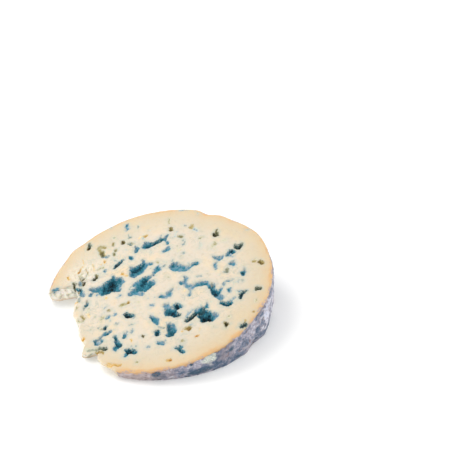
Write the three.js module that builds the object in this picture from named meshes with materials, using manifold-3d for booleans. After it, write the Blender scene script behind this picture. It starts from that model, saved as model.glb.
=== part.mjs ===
// A thick slice of natural-rind blue cheese, cut from the end of a tall drum.
// The base is cut square to the drum's axis and the face above it on a slant, so the
// slice tapers like a wedge: thick at +X, thin at -X, where a piece has broken away.
// Frame: millimetres, +Z up, origin on the drum's axis in the plane of the base.
import * as THREE from "three";
import { mergeVertices } from "three/addons/utils/BufferGeometryUtils.js";
import Module from "manifold-3d";

// Driving dimensions, in millimetres and degrees.
const DRUM_RADIUS = 66.2;
const AXIS_THICKNESS = 17.93; // height of the slanted face over the origin
const FACE_TILT = 12.3; // rise of the face toward +X

// The rind runs round the drum from one end of the broken edge to the other.
const RIND_FROM = -154.5;
const RIND_TO = 131;
const RIND_STEPS = 140;
const RIND_DIP = 0.4; // deepest hollow of the rind's slow waviness
const RIND_WAVES = [5, 8, 13]; // waves to the turn

// Swellings and dents of the rind: middle and half width in degrees, and height.
const RIND_LUMPS = [
  { at: -78, width: 12, height: -0.7 },
  { at: -17, width: 8, height: 0.9 },
  { at: 4, width: 8, height: -1.2 },
  { at: 17.5, width: 5, height: -2.6 },
  { at: 99, width: 5, height: 1.5 },
];

// The broken edge in plan, from the rind's end at +Y to its end at -Y: a tab, the
// notch under it, a ragged run and a tongue.
const BROKEN_EDGE = [
  [-40.9, 48.4], [-38.2, 47.9], [-35.8, 45.8], [-32.9, 41.8], [-31.3, 38.2],
  [-31.8, 35.7], [-33.6, 33.8], [-36.3, 32.1], [-40.0, 29.5], [-43.0, 26.4],
  [-46.4, 22.5], [-48.0, 18.8], [-49.3, 14.7], [-52.4, 10.5], [-54.8, 7.5],
  [-55.9, 4.4], [-56.1, 1.6], [-57.3, -0.6], [-60.2, -2.0], [-61.8, -4.2],
  [-60.4, -7.0], [-57.6, -9.2], [-57.0, -11.2], [-58.8, -13.2], [-60.4, -16.8],
  [-60.5, -20.8], [-60.0, -24.6],
];
const EDGE_STEPS = 110;
const CUTTER_SIZE = 60;

// The larger mould pockets that the slanting cut has opened, as flattened hollows:
// centre in plan, length, width, depth, and the turn of the length from +X.
const POCKETS = [
  { x: -17.5, y: 22.5, length: 17, width: 10, depth: 5, turn: -12 },
  { x: 1.0, y: 19.0, length: 13, width: 7, depth: 4, turn: 3 },
  { x: -7.5, y: 6.5, length: 17, width: 9, depth: 3.5, turn: 8 },
  { x: 20.5, y: 28.6, length: 14, width: 6, depth: 4, turn: -28 },
  { x: 16.5, y: 0, length: 13, width: 6, depth: 2.5, turn: -72 },
  { x: -10.0, y: -22.0, length: 11, width: 9, depth: 4, turn: 40 },
  { x: -21.8, y: -32.5, length: 11, width: 6, depth: 4, turn: 52 },
  { x: -3.0, y: -41.5, length: 11, width: 8, depth: 5, turn: 90 },
  { x: 13.2, y: -35.0, length: 17, width: 4, depth: 3, turn: 80 },
  { x: 8.8, y: -16.0, length: 9, width: 6, depth: 3, turn: 75 },
  { x: -45.0, y: -24.5, length: 7, width: 4, depth: 3, turn: -62 },
  { x: -21.6, y: -20.0, length: 10, width: 4, depth: 3, turn: 78 },
  { x: -50.5, y: -4.3, length: 7, width: 6, depth: 2, turn: 10 },
  { x: 49.3, y: 1.5, length: 6, width: 4, depth: 3, turn: 35 },
  { x: 49.0, y: -17.8, length: 6, width: 4, depth: 3, turn: 10 },
];
const POCKET_SEGMENTS = 14;
const POCKET_RINGS = 10;

const PASTE = new THREE.MeshStandardMaterial({
  color: 0xeee0ca,
  roughness: 0.7,
  metalness: 0,
});

const wasm = await Module();
wasm.setup();

function radians(degrees) {
  return THREE.MathUtils.degToRad(degrees);
}

// A closed three.js geometry as a solid that can be joined and cut.
function solidOf(geometry) {
  geometry.deleteAttribute("normal");
  geometry.deleteAttribute("uv");
  const merged = mergeVertices(geometry, 1e-4);
  return new wasm.Manifold(new wasm.Mesh({
    numProp: 3,
    vertProperties: new Float32Array(merged.attributes.position.array),
    triVerts: new Uint32Array(merged.index.array),
  }));
}

function geometryOf(solid) {
  const mesh = solid.getMesh();
  const geometry = new THREE.BufferGeometry();
  geometry.setAttribute("position", new THREE.BufferAttribute(mesh.vertProperties, mesh.numProp));
  geometry.setIndex(new THREE.BufferAttribute(mesh.triVerts, 1));
  geometry.computeVertexNormals();
  return geometry;
}

// Height of the slanted face over the base.
function faceHeight(x) {
  return AXIS_THICKNESS + x * Math.tan(radians(FACE_TILT));
}

// The rind's radius at an angle round the drum: the drum's own radius, less a slow,
// shallow waviness that is the sum of a few sines, plus bell-shaped lumps and dents.
function rindRadius(angle) {
  const sum = RIND_WAVES.reduce((total, count, i) => total + Math.sin(count * angle + 2 * i), 0);
  const lumps = RIND_LUMPS.reduce((total, lump) => {
    const offset = (angle - radians(lump.at)) / radians(lump.width);
    return total + lump.height * Math.exp(-offset * offset);
  }, 0);
  return DRUM_RADIUS - RIND_DIP * (0.5 + (0.5 * sum) / RIND_WAVES.length) + lumps;
}

// The slice in plan: the rind's arc, then a smooth line through the broken edge.
function outline() {
  const points = [];
  for (let i = 0; i <= RIND_STEPS; i += 1) {
    const angle = radians(RIND_FROM + ((RIND_TO - RIND_FROM) * i) / RIND_STEPS);
    const radius = rindRadius(angle);
    points.push(new THREE.Vector2(radius * Math.cos(angle), radius * Math.sin(angle)));
  }
  const edge = BROKEN_EDGE.map(([x, y]) => new THREE.Vector2(x, y));
  const line = new THREE.SplineCurve([points.at(-1), ...edge, points[0]]);
  return points.concat(line.getPoints(EDGE_STEPS).slice(1, -1));
}

// The drum's end, standing on its base and 1 mm taller than the slice.
function drumEnd() {
  return solidOf(new THREE.ExtrudeGeometry(new THREE.Shape(outline()), {
    depth: faceHeight(DRUM_RADIUS) + 1,
    bevelEnabled: false,
  }));
}

// Everything above the slanted face: a block turned about the Y axis, its underside
// in the plane of the face.
function aboveFace() {
  const block = new THREE.BoxGeometry(4 * DRUM_RADIUS, 4 * DRUM_RADIUS, CUTTER_SIZE);
  block.translate(0, 0, CUTTER_SIZE / 2);
  block.rotateY(-radians(FACE_TILT));
  block.translate(0, 0, AXIS_THICKNESS);
  return solidOf(block);
}

// One opened mould pocket: a sphere stretched to an ellipsoid, centred on the face.
function pocketHollow(pocket) {
  const hollow = new THREE.SphereGeometry(1, POCKET_SEGMENTS, POCKET_RINGS);
  hollow.rotateX(Math.PI / 2);
  hollow.scale(pocket.length / 2, pocket.width / 2, pocket.depth);
  hollow.rotateZ(radians(pocket.turn));
  hollow.translate(pocket.x, pocket.y, faceHeight(pocket.x));
  return solidOf(hollow);
}

function sliceSolid() {
  const cuts = [aboveFace(), ...POCKETS.map(pocketHollow)];
  return cuts.reduce((solid, cut) => solid.subtract(cut), drumEnd());
}

const slice = new THREE.Mesh(geometryOf(sliceSolid()), PASTE);
slice.name = "cheese_wedge";

const cheese = new THREE.Group();
cheese.add(slice);

export default cheese;
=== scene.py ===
from functools import partial

import bpy
import numpy as np
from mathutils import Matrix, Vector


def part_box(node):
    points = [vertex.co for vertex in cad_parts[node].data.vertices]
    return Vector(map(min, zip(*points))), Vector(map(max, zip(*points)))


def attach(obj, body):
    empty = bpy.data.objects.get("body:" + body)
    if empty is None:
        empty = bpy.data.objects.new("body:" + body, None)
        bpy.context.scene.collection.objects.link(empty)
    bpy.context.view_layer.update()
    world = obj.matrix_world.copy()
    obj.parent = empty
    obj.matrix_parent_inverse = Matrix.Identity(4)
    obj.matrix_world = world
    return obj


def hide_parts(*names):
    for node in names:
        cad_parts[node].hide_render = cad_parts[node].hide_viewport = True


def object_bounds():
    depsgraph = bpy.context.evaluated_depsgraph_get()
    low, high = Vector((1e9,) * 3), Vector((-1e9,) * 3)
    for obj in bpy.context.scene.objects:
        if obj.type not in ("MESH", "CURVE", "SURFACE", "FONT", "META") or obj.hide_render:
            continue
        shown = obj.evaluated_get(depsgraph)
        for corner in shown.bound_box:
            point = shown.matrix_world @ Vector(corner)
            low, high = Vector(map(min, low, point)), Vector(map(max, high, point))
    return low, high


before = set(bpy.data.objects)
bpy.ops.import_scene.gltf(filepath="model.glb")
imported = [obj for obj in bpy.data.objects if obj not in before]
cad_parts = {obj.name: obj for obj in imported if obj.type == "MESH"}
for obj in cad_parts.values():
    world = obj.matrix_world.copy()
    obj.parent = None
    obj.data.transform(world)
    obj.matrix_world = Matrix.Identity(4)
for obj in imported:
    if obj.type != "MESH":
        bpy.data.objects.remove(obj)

bl_info = {
    "name": "Blue Cheese Slice",
    "version": (1, 0, 0),
    "blender": (4, 5, 0),
    "location": "View3D > Sidebar > Cheese",
    "description": "Builds a wedge-thick slice of natural-rind blue cheese and its stage",
    "category": "Object",
}

CAD_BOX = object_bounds()
NODE = "cheese_wedge"
LOWEST, HIGHEST = (np.array(corner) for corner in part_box(NODE))

MM = 0.001
DRUM_RADIUS = 66.2  # mm, as are all sizes below unless a name says otherwise
FACE_SLOPE = 0.218  # rise of the slanted face toward +X
AXIS_THICKNESS = 17.93
RIND_DIP = 0.4  # deepest hollow of the rind's slow waviness
RIND_WAVES = (5, 8, 13)  # waves to the turn

# Swellings and dents of the rind: middle and half width in degrees round the drum, and
# height.
RIND_LUMPS = [(-78, 12, -0.7), (-17, 8, 0.9), (4, 8, -1.2), (17.5, 5, -2.6), (99, 5, 1.5)]

# The broken edge in plan, from the rind's end at +Y to its end at -Y, where it meets
# the slanted face and where it meets the base: the break leans, mostly inward on its
# way down. The rind's two ends come first, in degrees.
TOP_ENDS, FOOT_ENDS = (-154.0, 130.8), (-153.5, 127.0)
TOP_BREAK = [
    (-40.9, 48.4), (-38.2, 47.9), (-35.8, 45.8), (-32.9, 41.8), (-31.3, 38.2), (-31.8, 35.7),
    (-33.6, 33.8), (-36.3, 32.1), (-40.0, 29.5), (-43.0, 26.4), (-46.4, 22.5), (-48.0, 18.8),
    (-49.3, 14.7), (-52.4, 10.5), (-54.8, 7.5), (-55.9, 4.4), (-56.1, 1.6), (-57.3, -0.6),
    (-60.2, -2.0), (-61.8, -4.2), (-60.4, -7.0), (-57.6, -9.2), (-57.0, -11.2), (-58.8, -13.2),
    (-60.4, -16.8), (-60.5, -20.8), (-60.0, -24.6),
]
FOOT_BREAK = [
    (-38.2, 50.0), (-37.0, 48.0), (-34.5, 46.9), (-30.8, 45.0), (-28.2, 43.2), (-27.8, 41.7),
    (-29.8, 39.0), (-32.6, 36.2), (-36.9, 32.1), (-40.8, 27.6), (-43.5, 22.7), (-45.9, 18.5),
    (-48.5, 14.7), (-50.6, 11.2), (-52.0, 7.8), (-52.8, 5.4), (-54.0, 3.2), (-56.6, 0.9),
    (-59.6, -0.8), (-60.8, -2.8), (-59.0, -5.4), (-54.8, -7.0), (-54.2, -9.4), (-56.2, -13.0),
    (-56.4, -16.8), (-55.9, -20.5), (-56.6, -23.8),
]
FOOT_INSET = 0.5  # the rind's foot stands this far inside its upper edge
BASE_INSET = 0.8  # and the flat base starts this far inside the foot
FACE_SPREAD = 0.25  # the face's edge stands this far inside the drum

# Swellings and dents of the rind's foot, in the same terms as the rind's own.
FOOT_LUMPS = [
    (-156, 4, -1.6), (-99, 7, 0.6), (-87, 4, 0.9), (-79, 4, -0.4), (-69, 5, 1.3), (-56, 5, -0.6),
    (-44, 6, 0.9),
]
RIND_STEPS, BREAK_STEPS = 1200, 24  # steps along the rind, and to each span of the break
CHIPPED_STEPS = 9  # steps at the rind's +Y end, about 2 mm, lost with the break

# The middles that the grid lines of face and base run out from. Every point of the
# outline is in plain sight of its hub, so the lines never cross.
TOP_HUB = np.array([0.0, 22.0])
BASE_HUB = np.array([-2.0, 29.0])

# Mould pockets opened by the slanting cut. Each line is one chain of discs: its depth and
# hue, then x, y, radius and tone of each disc. Hue runs from 0, blue-green, through 0.5,
# olive, to 1, ochre. Tone runs from 0, a faint stain, to 1, nearly black.
POCKETS = """
# The big pocket on the thin side, its arm, lobes and tail.
3.6 0 | -22 22 3.2 0.62 | -18.5 23 4.3 0.74 | -15.5 23.5 3.6 0.74 | -12 22 2.4 0.6
4.6 0 | -17.2 22.8 2 1 | -15.2 24.4 2.2 1
2.2 0 | -26.5 30.3 0.9 0.4 | -25 27 2 0.55 | -22 24 2.6 0.65
1.6 0 | -24.8 21.6 1.4 0.4 | -23 23.5 2 0.6
2.8 0 | -18 19 2.6 0.75 | -17 15.8 1.2 0.5
1.6 0 | -15 19.5 2.3 0.5 | -12.3 20.3 2.4 0.45
1.5 0.05 | -12.8 24.5 1.3 0.85 | -11.6 27.6 0.5 0.6
1 0 | -29.9 26.6 1 0.5 | -28.8 27 1 0.45
# The pocket beside it, over the middle.
3 0 | -3.2 18.3 2.8 0.55 | 0 17.8 3.2 0.5 | 3 18.2 2.5 0.45 | 5.6 19 2 0.45
3.4 0 | -0.7 21.3 1.7 0.8 | 2.8 20.5 1.2 0.95 | 5.8 20 0.9 0.85
1.5 0 | -1.2 22 1.6 0.65 | -0.2 24.3 0.8 0.4
1.5 0 | 6.4 20 1.2 0.7 | 7.6 23.2 0.4 0.4
1.3 0 | 6.4 18.8 1.3 0.5 | 9.3 15.6 0.7 0.5
# The broad pocket at the middle and the link that runs on from it.
3.2 0 | -9.3 7.6 2.2 0.72 | -5 8.2 2.5 0.76 | -2 9 1.7 0.85 | 1 8.7 0.8 0.6
2.6 0 | -8 4.6 2.4 0.6 | -4.5 3.8 2.5 0.7 | -2.2 3.8 2 0.55
1.8 0 | -15.2 7.3 1.6 0.55 | -12 7 2.4 0.6
1.2 0 | -12.6 5.2 1.9 0.42 | -11.8 1.6 1.2 0.35
1.2 0 | -3 10.6 1 0.75 | -10 11.2 0.8 0.5
1.5 0 | 3 7.7 0.8 0.35 | 5.4 8.9 1.3 0.5 | 8 9.3 1.8 0.6 | 9 11.2 0.8 0.75
# The pocket with a dark slit running to a fork.
2.4 0 | 16.6 30.5 1.7 0.5 | 18.6 29.6 2.5 0.55 | 19.2 32.4 1.2 0.5
4 0.05 | 19.6 30.2 1.3 0.8 | 20.6 28.2 1.7 1 | 23.8 27 1.3 1 | 27 26.2 1 0.95
1.6 0 | 28.4 25 1.2 0.55 | 31.6 26.2 0.6 0.6
0.9 0 | 27.8 27.6 0.5 0.5 | 29.6 29.6 0.4 0.4
1 0.05 | 28 23.6 0.5 0.4 | 26.7 20.7 0.9 0.7
1.8 0 | 11 31.9 1.2 0.5 | 12.9 32.8 1.2 0.75 | 13.8 35.4 0.5 0.45
1.2 0 | 4.9 29.2 1 0.5 | 5.2 30.8 1 0.7
3 0.15 | -6 32.3 0.8 0.8 | -3 32.6 1.1 1 | 0.5 32.8 0.7 0.85
1.3 0 | 20.9 17.3 1 0.5 | 23.2 17 1.2 0.6 | 24.7 17.4 0.8 0.6
# The pale pocket right of the middle and its tail.
1.9 0 | 15 3.2 2.4 0.5 | 15 1 2.8 0.46 | 16 -1.5 2.8 0.48 | 17 -4.2 2.1 0.55
2.4 0 | 13.7 4.7 0.7 0.5 | 16.4 4.6 1 0.75 | 17.5 2.5 0.8 0.5
1.2 0 | 17.6 -4.4 1.5 0.5 | 19.8 -5.4 1.1 0.4 | 21.5 -5.2 1 0.75
1.8 0 | 22.8 -5.2 0.9 0.75 | 24.1 -6.6 1.1 0.75
# The long forked vein that runs toward the rind.
1.6 0 | 8 -11 1.4 0.65 | 9.2 -12 1.2 0.45
1.3 0.05 | 10 -11 0.9 0.45 | 11.8 -10.8 1 0.5 | 12.6 -9 0.5 0.5
1.4 0 | 8.9 -12.5 1.2 0.38 | 8.2 -15 1.5 0.38 | 8 -18 1.9 0.35
0.9 0.05 | 6.8 -19 0.9 0.32 | 4 -21.3 0.8 0.4 | 2 -21.3 0.6 0.2
1.8 0 | 9.6 -18.2 1.5 0.4 | 12 -19.3 1.5 0.5 | 14.4 -21.8 1.5 0.7 | 15.8 -22.5 1.3 0.65
1.2 0 | 15.8 -23 1 0.55 | 15.3 -26 1 0.5
2.8 0 | 14.7 -27.6 1.4 0.95 | 16 -28 1.6 0.7 | 17.4 -27 1.2 0.4
3 0 | 14 -30.5 1.4 0.8 | 12.9 -33 1.8 0.9 | 14.4 -33.8 1.4 0.75
1.8 0 | 11.8 -35.6 1.7 0.42 | 12.4 -38.4 1.6 0.5
1.1 0 | 15.5 -34 0.9 0.7 | 17.8 -33.3 0.5 0.45
1 0.05 | 20.4 -32.7 0.7 0.55 | 22.5 -31.6 0.5 0.4 | 23.8 -32.5 0.8 0.5 | 27 -34 0.5 0.25
3.4 0.05 | 9 -41 1 0.8 | 9.7 -43.6 1.5 0.95 | 10.5 -45.2 1.4 0.95 | 12.3 -45.4 1.2 0.8
0.6 0.1 | 14.6 -44.2 0.7 0.3 | 16.4 -44.7 0.7 0.45
1 0.05 | 18.5 -39.3 0.7 0.4 | 19.6 -37.8 1 0.75
0.8 0.1 | 21.7 -43.6 0.8 0.55 | 21.6 -42.4 0.6 0.4
2.2 0.25 | 18 -47.7 0.7 0.7 | 20.5 -46.2 1 0.95 | 22.5 -46 0.9 0.95 | 24.4 -46.8 0.5 0.5
# Pockets nearer the thick side.
1.6 0 | 34.1 -11 0.5 0.5 | 34.1 -13 1 0.5 | 34.9 -15.2 1.8 0.45 | 36.6 -15.6 0.9 0.5
0.9 0.05 | 31.5 -16 0.5 0.45 | 29.5 -16.7 0.8 0.5 | 27.3 -19.5 0.7 0.45
2 0 | 39.6 -17.2 1.1 0.65 | 41 -16.3 0.6 0.6 | 43.6 -16.7 1.3 0.95 | 43.4 -18.5 1.2 0.6
1.2 0 | 40 -18.4 0.9 0.4 | 41.6 -18.3 1.2 0.12
3 0.3 | 48.2 -15.6 1 0.85 | 47.8 -18.7 1.3 1 | 50 -18.1 1.1 0.95 | 51.8 -17.5 0.6 0.7
1.5 0 | 35 -23.7 1 0.65 | 36.8 -23.8 1 0.5 | 35.6 -26 1.2 0.45
1.2 0.35 | 29 -26.2 0.9 0.85 | 30.6 -25.7 0.8 0.6
3 0.42 | 48.4 0.9 1.3 1 | 48.3 2.7 0.7 0.9
1.5 0.4 | 49.8 1.4 0.9 0.85 | 51.6 3.5 0.6 0.7
1.4 0.15 | 32.7 -36.3 0.9 0.6 | 34 -35 1.2 0.85 | 35.6 -34.7 0.7 0.6 | 37.6 -32.6 0.4 0.3
0.8 0.66 | 44.5 -34 1.2 0.55 | 45.8 -34 0.8 0.4
1.3 0.64 | 46.2 -37.2 1.1 0.8 | 46 -39.4 0.9 0.6
1 0.6 | 36.2 27.2 0.8 0.75 | 37.8 29.4 0.9 0.75
0.5 0.6 | 40.4 33.4 0.8 0.4 | 41.4 34.3 0.5 0.25 | 43.2 36.2 0.7 0.3
1 0.42 | 34.8 20 0.6 0.45 | 35.6 17.9 0.9 0.65
0.5 0.65 | 44.8 18.6 1.4 0.38 | 46.9 19.8 1.2 0.35
0.4 0.05 | 45 16 1.2 0.2 | 45 13.5 1 0.18
0.4 0.45 | 39 -4.8 0.8 0.2 | 42.5 -4 0.9 0.38 | 43.8 -2.8 0.4 0.2
# Pockets toward the rind below the middle.
4 0.26 | -11.4 -34.6 0.8 0.95 | -8.2 -35.4 1.1 1 | -4 -35.2 1.2 1 | 0.2 -36 1.1 0.9
0.5 0.05 | -9.6 -32.6 0.5 0.25 | -7 -31.2 0.55 0.32 | -4.2 -31.4 0.6 0.36
1.4 0 | -2.6 -33.6 1.3 0.45 | -0.6 -35 1.4 0.6
1.2 0.05 | 2.2 -36.6 1 0.7 | 4.4 -35.2 0.5 0.5
3 0 | -4.6 -38.4 1.4 0.7 | -1.4 -38.4 2 0.82
5.5 0 | -4.6 -41.8 2.6 1 | -2.8 -42.2 2.5 1 | -0.8 -40.8 1.8 0.85
2.2 0 | -2.8 -44.8 1.9 0.5 | 0.4 -45 1.8 0.42
3.6 0 | -13.4 -22.6 1.8 0.7 | -12 -20.4 2.1 0.75 | -11.2 -22.8 2.1 0.9 | -12.5 -25.5 1.8 0.7
3.6 0.25 | -11.8 -26.6 1.4 0.9 | -11 -27.2 1.1 1
1.2 0 | -9.6 -19.4 1 0.5 | -10 -16 1.2 0.4 | -8.6 -17 0.8 0.4
3 0 | -8.6 -20 0.8 0.6 | -6.2 -21.3 1 0.9 | -6.4 -23.8 1.2 0.95 | -8.7 -22.9 0.8 0.95
1.8 0 | -21 -15.4 0.8 0.4 | -21.2 -17.6 1.3 0.75 | -21.3 -20 1.8 0.5 | -22.5 -22.2 1 0.45
0.8 0.1 | -23.2 -23.8 0.5 0.38 | -23.5 -26 0.4 0.35 | -22.2 -28 0.7 0.5
3.4 0 | -19 -28.4 1.2 0.55 | -19.6 -31 2.1 0.6 | -21.5 -33 2.3 0.75 | -20.4 -35 1.1 0.7
4.2 0.1 | -23.4 -34.7 1.6 1 | -24.8 -34 1 0.6
1.3 0 | -31.8 -33.5 0.8 0.65 | -31 -35.8 1.1 0.6 | -28.8 -35.6 0.5 0.3
2 0.05 | -27.9 -28.8 1 0.9 | -27 -27.2 1.1 0.95
1 0.68 | -16.6 -38.3 0.7 0.45 | -15 -40 1.3 0.65 | -14 -39.7 1 0.75
3 0.05 | -45.9 -22.6 0.9 0.85 | -45.1 -25 1.7 0.95 | -44.3 -27.4 1.3 0.85
0.8 0.05 | -49.2 -25.2 0.9 0.45 | -46.6 -25 0.8 0.6
2 0.15 | -29 -44.2 0.6 0.75 | -28.6 -46.1 1.2 0.95 | -26.2 -45.5 0.6 0.8
1.6 0.15 | -28.6 -46.6 0.9 0.9 | -28.8 -49.5 0.6 0.75
0.4 0.5 | -23.4 -43.5 0.8 0.35
1.2 1 | -37.8 -47 0.6 0.55 | -37 -47.6 0.9 0.75
0.9 0.95 | -16.3 -47.3 0.8 0.6
1.5 0.55 | -2.2 -56 0.5 0.6 | -0.8 -55 1 0.95 | -0.2 -53.4 0.6 0.8
1.8 0.36 | 28 -50.6 0.8 0.9 | 29.3 -51.2 1.3 1 | 29.5 -50 0.9 0.95
0.4 0.5 | 4 -52 0.8 0.28
0.4 0.6 | 21.5 -56.5 0.9 0.32
1 0.3 | 2.8 -62.8 1.2 0.95 | 4.8 -63.3 1.2 0.9
0.8 0.75 | 14.6 -61 0.7 0.6
# Specks of crust at the rim.
0.4 0.1 | 17.6 62.6 0.6 0.5
0.3 0.2 | 43.4 49.3 0.5 0.3
0.3 0.1 | 55.2 33.4 0.4 0.45 | 54.2 35.2 0.5 0.35 | 52.6 37 0.4 0.3
0.3 0.1 | 57.2 25.4 0.4 0.3 | 56.2 24 0.4 0.25
0.3 0.2 | 62.2 -12 0.5 0.4
0.4 0.75 | 7.2 -61.8 0.6 0.55
# Greyish shallow patches round the middle.
1.3 0.05 | -6.7 -8.8 1 0.6 | -5.5 -11 1.5 0.35 | -3 -12 1.4 0.42
1.4 0.15 | -2.3 -10.8 1.3 0.68 | 0 -10 0.6 0.45 | 3 -8.6 0.4 0.2
0.6 0.1 | -14.9 -8.8 0.9 0.4 | -14 -10 0.8 0.42
0.3 0.1 | -11.6 -4 0.6 0.22
0.5 0.25 | 11.8 7.7 1 0.42
0.6 0.45 | 11.6 13 0.5 0.4 | 12.4 14.2 0.5 0.45
0.5 0.2 | 26 6.4 0.9 0.38
0.5 0.2 | 16.4 -15 0.8 0.3 | 18 -16.4 0.7 0.22
2.5 0.2 | -28 -2.8 1.1 1 | -28.3 -4 1.4 1 | -26.5 -6.2 1 0.85
1 0.05 | -35.5 5 1.3 0.5
0.6 0.1 | -32 3 1.1 0.38
0.5 0.42 | -31.5 8 0.9 0.4
0.5 0.55 | -25 5 1 0.35 | -23 4.4 0.9 0.35
0.9 0.72 | -21 3.7 1.2 0.55
0.4 0.3 | -39.4 11 0.8 0.22
0.5 0.15 | -22 12 0.5 0.25 | -19.8 11.8 0.9 0.42
0.8 0.6 | -34 -23.3 0.6 0.85 | -33.3 -22.6 0.6 0.9
0.8 0.1 | -37.2 -30.8 0.8 0.5
0.3 0.45 | -48.2 -34 0.9 0.3
0.5 1 | -39.6 -20.3 0.6 0.3 | -39 -18.8 0.6 0.3
# Along the broken edge.
1.8 0.2 | -42.6 -0.7 0.8 0.7 | -41.3 0 0.9 1
1.8 0 | -52.4 -3.6 0.55 0.8 | -53 -5.6 0.6 0.75 | -51.8 -7 0.6 0.7 | -49.6 -6.8 0.6 0.75
1.8 0.05 | -49.6 -6.8 0.6 0.75 | -48.5 -5.2 0.6 0.65 | -49 -3.4 0.5 0.5 | -52.2 -3.2 0.6 0.75
0.8 0 | -50.8 -5 1.5 0.24
1.5 0 | -48 -3.6 0.9 0.3 | -46.3 -3.8 0.9 0.4 | -44.5 -4 1.2 0.7 | -42 -4.8 0.9 0.5
2.5 0 | -43 -10.4 0.9 0.85 | -44.3 -12 0.9 0.6 | -45.5 -14.6 1.2 0.8 | -45.7 -16.8 1.3 0.95
1.5 0 | -48.6 -16.6 1.4 0.5 | -46.5 -16 1.2 0.6
1.3 0 | -39.9 -14.7 0.9 0.75 | -38.6 -13.7 1 0.6
0.8 0.05 | -35.2 -14.7 0.9 0.45 | -33.9 -14.2 0.6 0.5
1 0.75 | -56.6 -10.6 0.9 0.55 | -54.8 -13 0.9 0.6
1.5 0.34 | -55.4 -8.6 0.7 0.5 | -53.4 -9.4 0.8 0.7 | -52.1 -12.4 1 0.95
0.5 0.35 | -58.6 -4.2 1 0.16 | -57.2 -6.4 1.4 0.2 | -55.4 -8.2 1 0.22
0.5 1 | -54.6 3.5 1.1 0.42
1.3 0.98 | -58.6 -21.6 0.6 0.4 | -57.4 -24.5 0.8 0.45 | -55.2 -27.7 0.7 0.55
0.8 0.65 | -44 15.9 0.9 0.45 | -43.5 17.5 0.8 0.5
0.5 0.55 | -47 17 0.5 0.32 | -46 14.9 0.8 0.28
1.5 0.2 | -37 22.2 0.8 0.8 | -35.6 23 0.8 0.8 | -33.9 24.8 0.4 0.3
0.6 0.3 | -39.6 21 0.6 0.4 | -38.7 21.8 0.5 0.4
0.5 0.58 | -41.9 25.1 0.8 0.32 | -40.8 25.8 0.6 0.3
2.5 0.15 | -31.8 38.8 0.6 0.6 | -30.9 37.2 0.8 0.9 | -30.1 35.8 0.8 0.95
1.4 0.05 | -30.8 34.2 0.8 0.65 | -32 31.6 1.2 0.4 | -32.3 30 1 0.35
1.4 0.72 | -35.4 33.7 0.6 0.75 | -33.8 34.5 0.6 0.8 | -32 35.3 0.5 0.6
2.2 0.55 | -26.8 36.6 0.6 0.85 | -25.4 37.9 0.7 1
1.6 0.5 | -24.6 40.3 0.5 0.75 | -22.8 41.2 0.6 0.85
0.8 0.1 | -27.6 38.4 0.9 0.25 | -26 40.6 0.9 0.25
2.4 0.42 | -19.7 34.9 0.8 0.95 | -18 35.2 0.8 1 | -16.9 36.8 0.6 0.75
0.8 0.1 | -11.6 34.9 0.9 0.55 | -10.9 35.8 0.7 0.5
1 0.12 | -39.4 49 1.1 0.6 | -38 47.9 1.1 0.45
0.3 0.25 | -33.5 43 0.9 0.2
1.2 0.4 | -31.6 39.6 0.6 0.85 | -29.6 41.4 0.6 0.9 | -28.4 43.2 0.6 0.8
# Crumbled cracks with ochre mould, over the tab.
0.7 1 | -28.5 48.4 0.5 0.4 | -27.8 50 0.8 0.42
1.2 1 | -22.5 47 0.4 0.5 | -20.5 47.8 0.5 0.55 | -18 48.8 0.3 0.35 | -16 49.5 0.25 0.3
1.2 0.8 | -19.3 41.8 0.3 0.4 | -18 44.4 0.35 0.5 | -16.7 46.6 0.25 0.3
1.2 0.42 | -24.6 41.8 0.3 0.35 | -23.5 44 0.35 0.42 | -22.8 46 0.3 0.4
0.9 0.92 | -15 40.4 0.25 0.3 | -13 43.6 0.3 0.35 | -11.2 46.4 0.2 0.25
0.6 1 | -14.5 51 0.25 0.25 | -13 54 0.3 0.32
0.7 1 | -6.8 40.8 0.5 0.45 | -5.5 42.2 0.8 0.5
0.5 0.98 | -9 41.5 0.5 0.4
0.3 0.95 | -26 17.3 1 0.18
# Olive pockets along the far side.
1.5 0.42 | -2.6 47 1.4 0.6 | -1.4 49.8 1.3 0.62
1.2 0.15 | -3.4 45.8 1.2 0.4 | -2.2 43.8 0.9 0.5
0.6 0.6 | -1.4 51.4 1.2 0.42 | 0.1 54.4 1.1 0.36 | 1.8 52.4 1.2 0.45 | 2.6 50.8 0.8 0.5
0.8 0.42 | 1 40.6 0.5 0.35 | 1.5 42.3 0.8 0.6
0.6 0.42 | 3.4 42.8 0.6 0.4 | 4.8 43.4 0.8 0.55
0.8 0.6 | 6.4 48 0.8 0.6 | 7.8 49.8 0.8 0.5
1.6 0.6 | 11.2 44.3 0.8 0.95 | 12.2 45.7 0.9 0.9
1 0.25 | 12.8 41.4 0.6 0.5 | 13.9 39.6 0.9 0.8
0.6 0.25 | 17.5 44.6 0.9 0.5 | 18.1 47 0.5 0.3
0.7 0.78 | 23 38.2 0.9 0.38 | 23.7 37.2 1.3 0.45
0.9 0.05 | 20.6 52 1 0.38 | 22.5 52.2 1.3 0.38 | 23.2 54 0.8 0.42 | 24.3 55.3 0.8 0.65
0.3 0.3 | 25.8 47 0.8 0.2 | 27.5 48 1 0.24
0.3 0.4 | 11.6 53 1 0.22
2 0.62 | -4 58.9 0.9 0.9 | -3 59.4 0.7 0.85
2 0.32 | -1.9 60.2 1 0.9 | -1 62 0.5 0.6
0.3 0.25 | 36 1.8 0.6 0.15 | 38.5 4.6 0.6 0.15
0.3 0.6 | 25 10.2 0.6 0.18 | 27.8 10.4 0.7 0.22
"""

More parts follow.
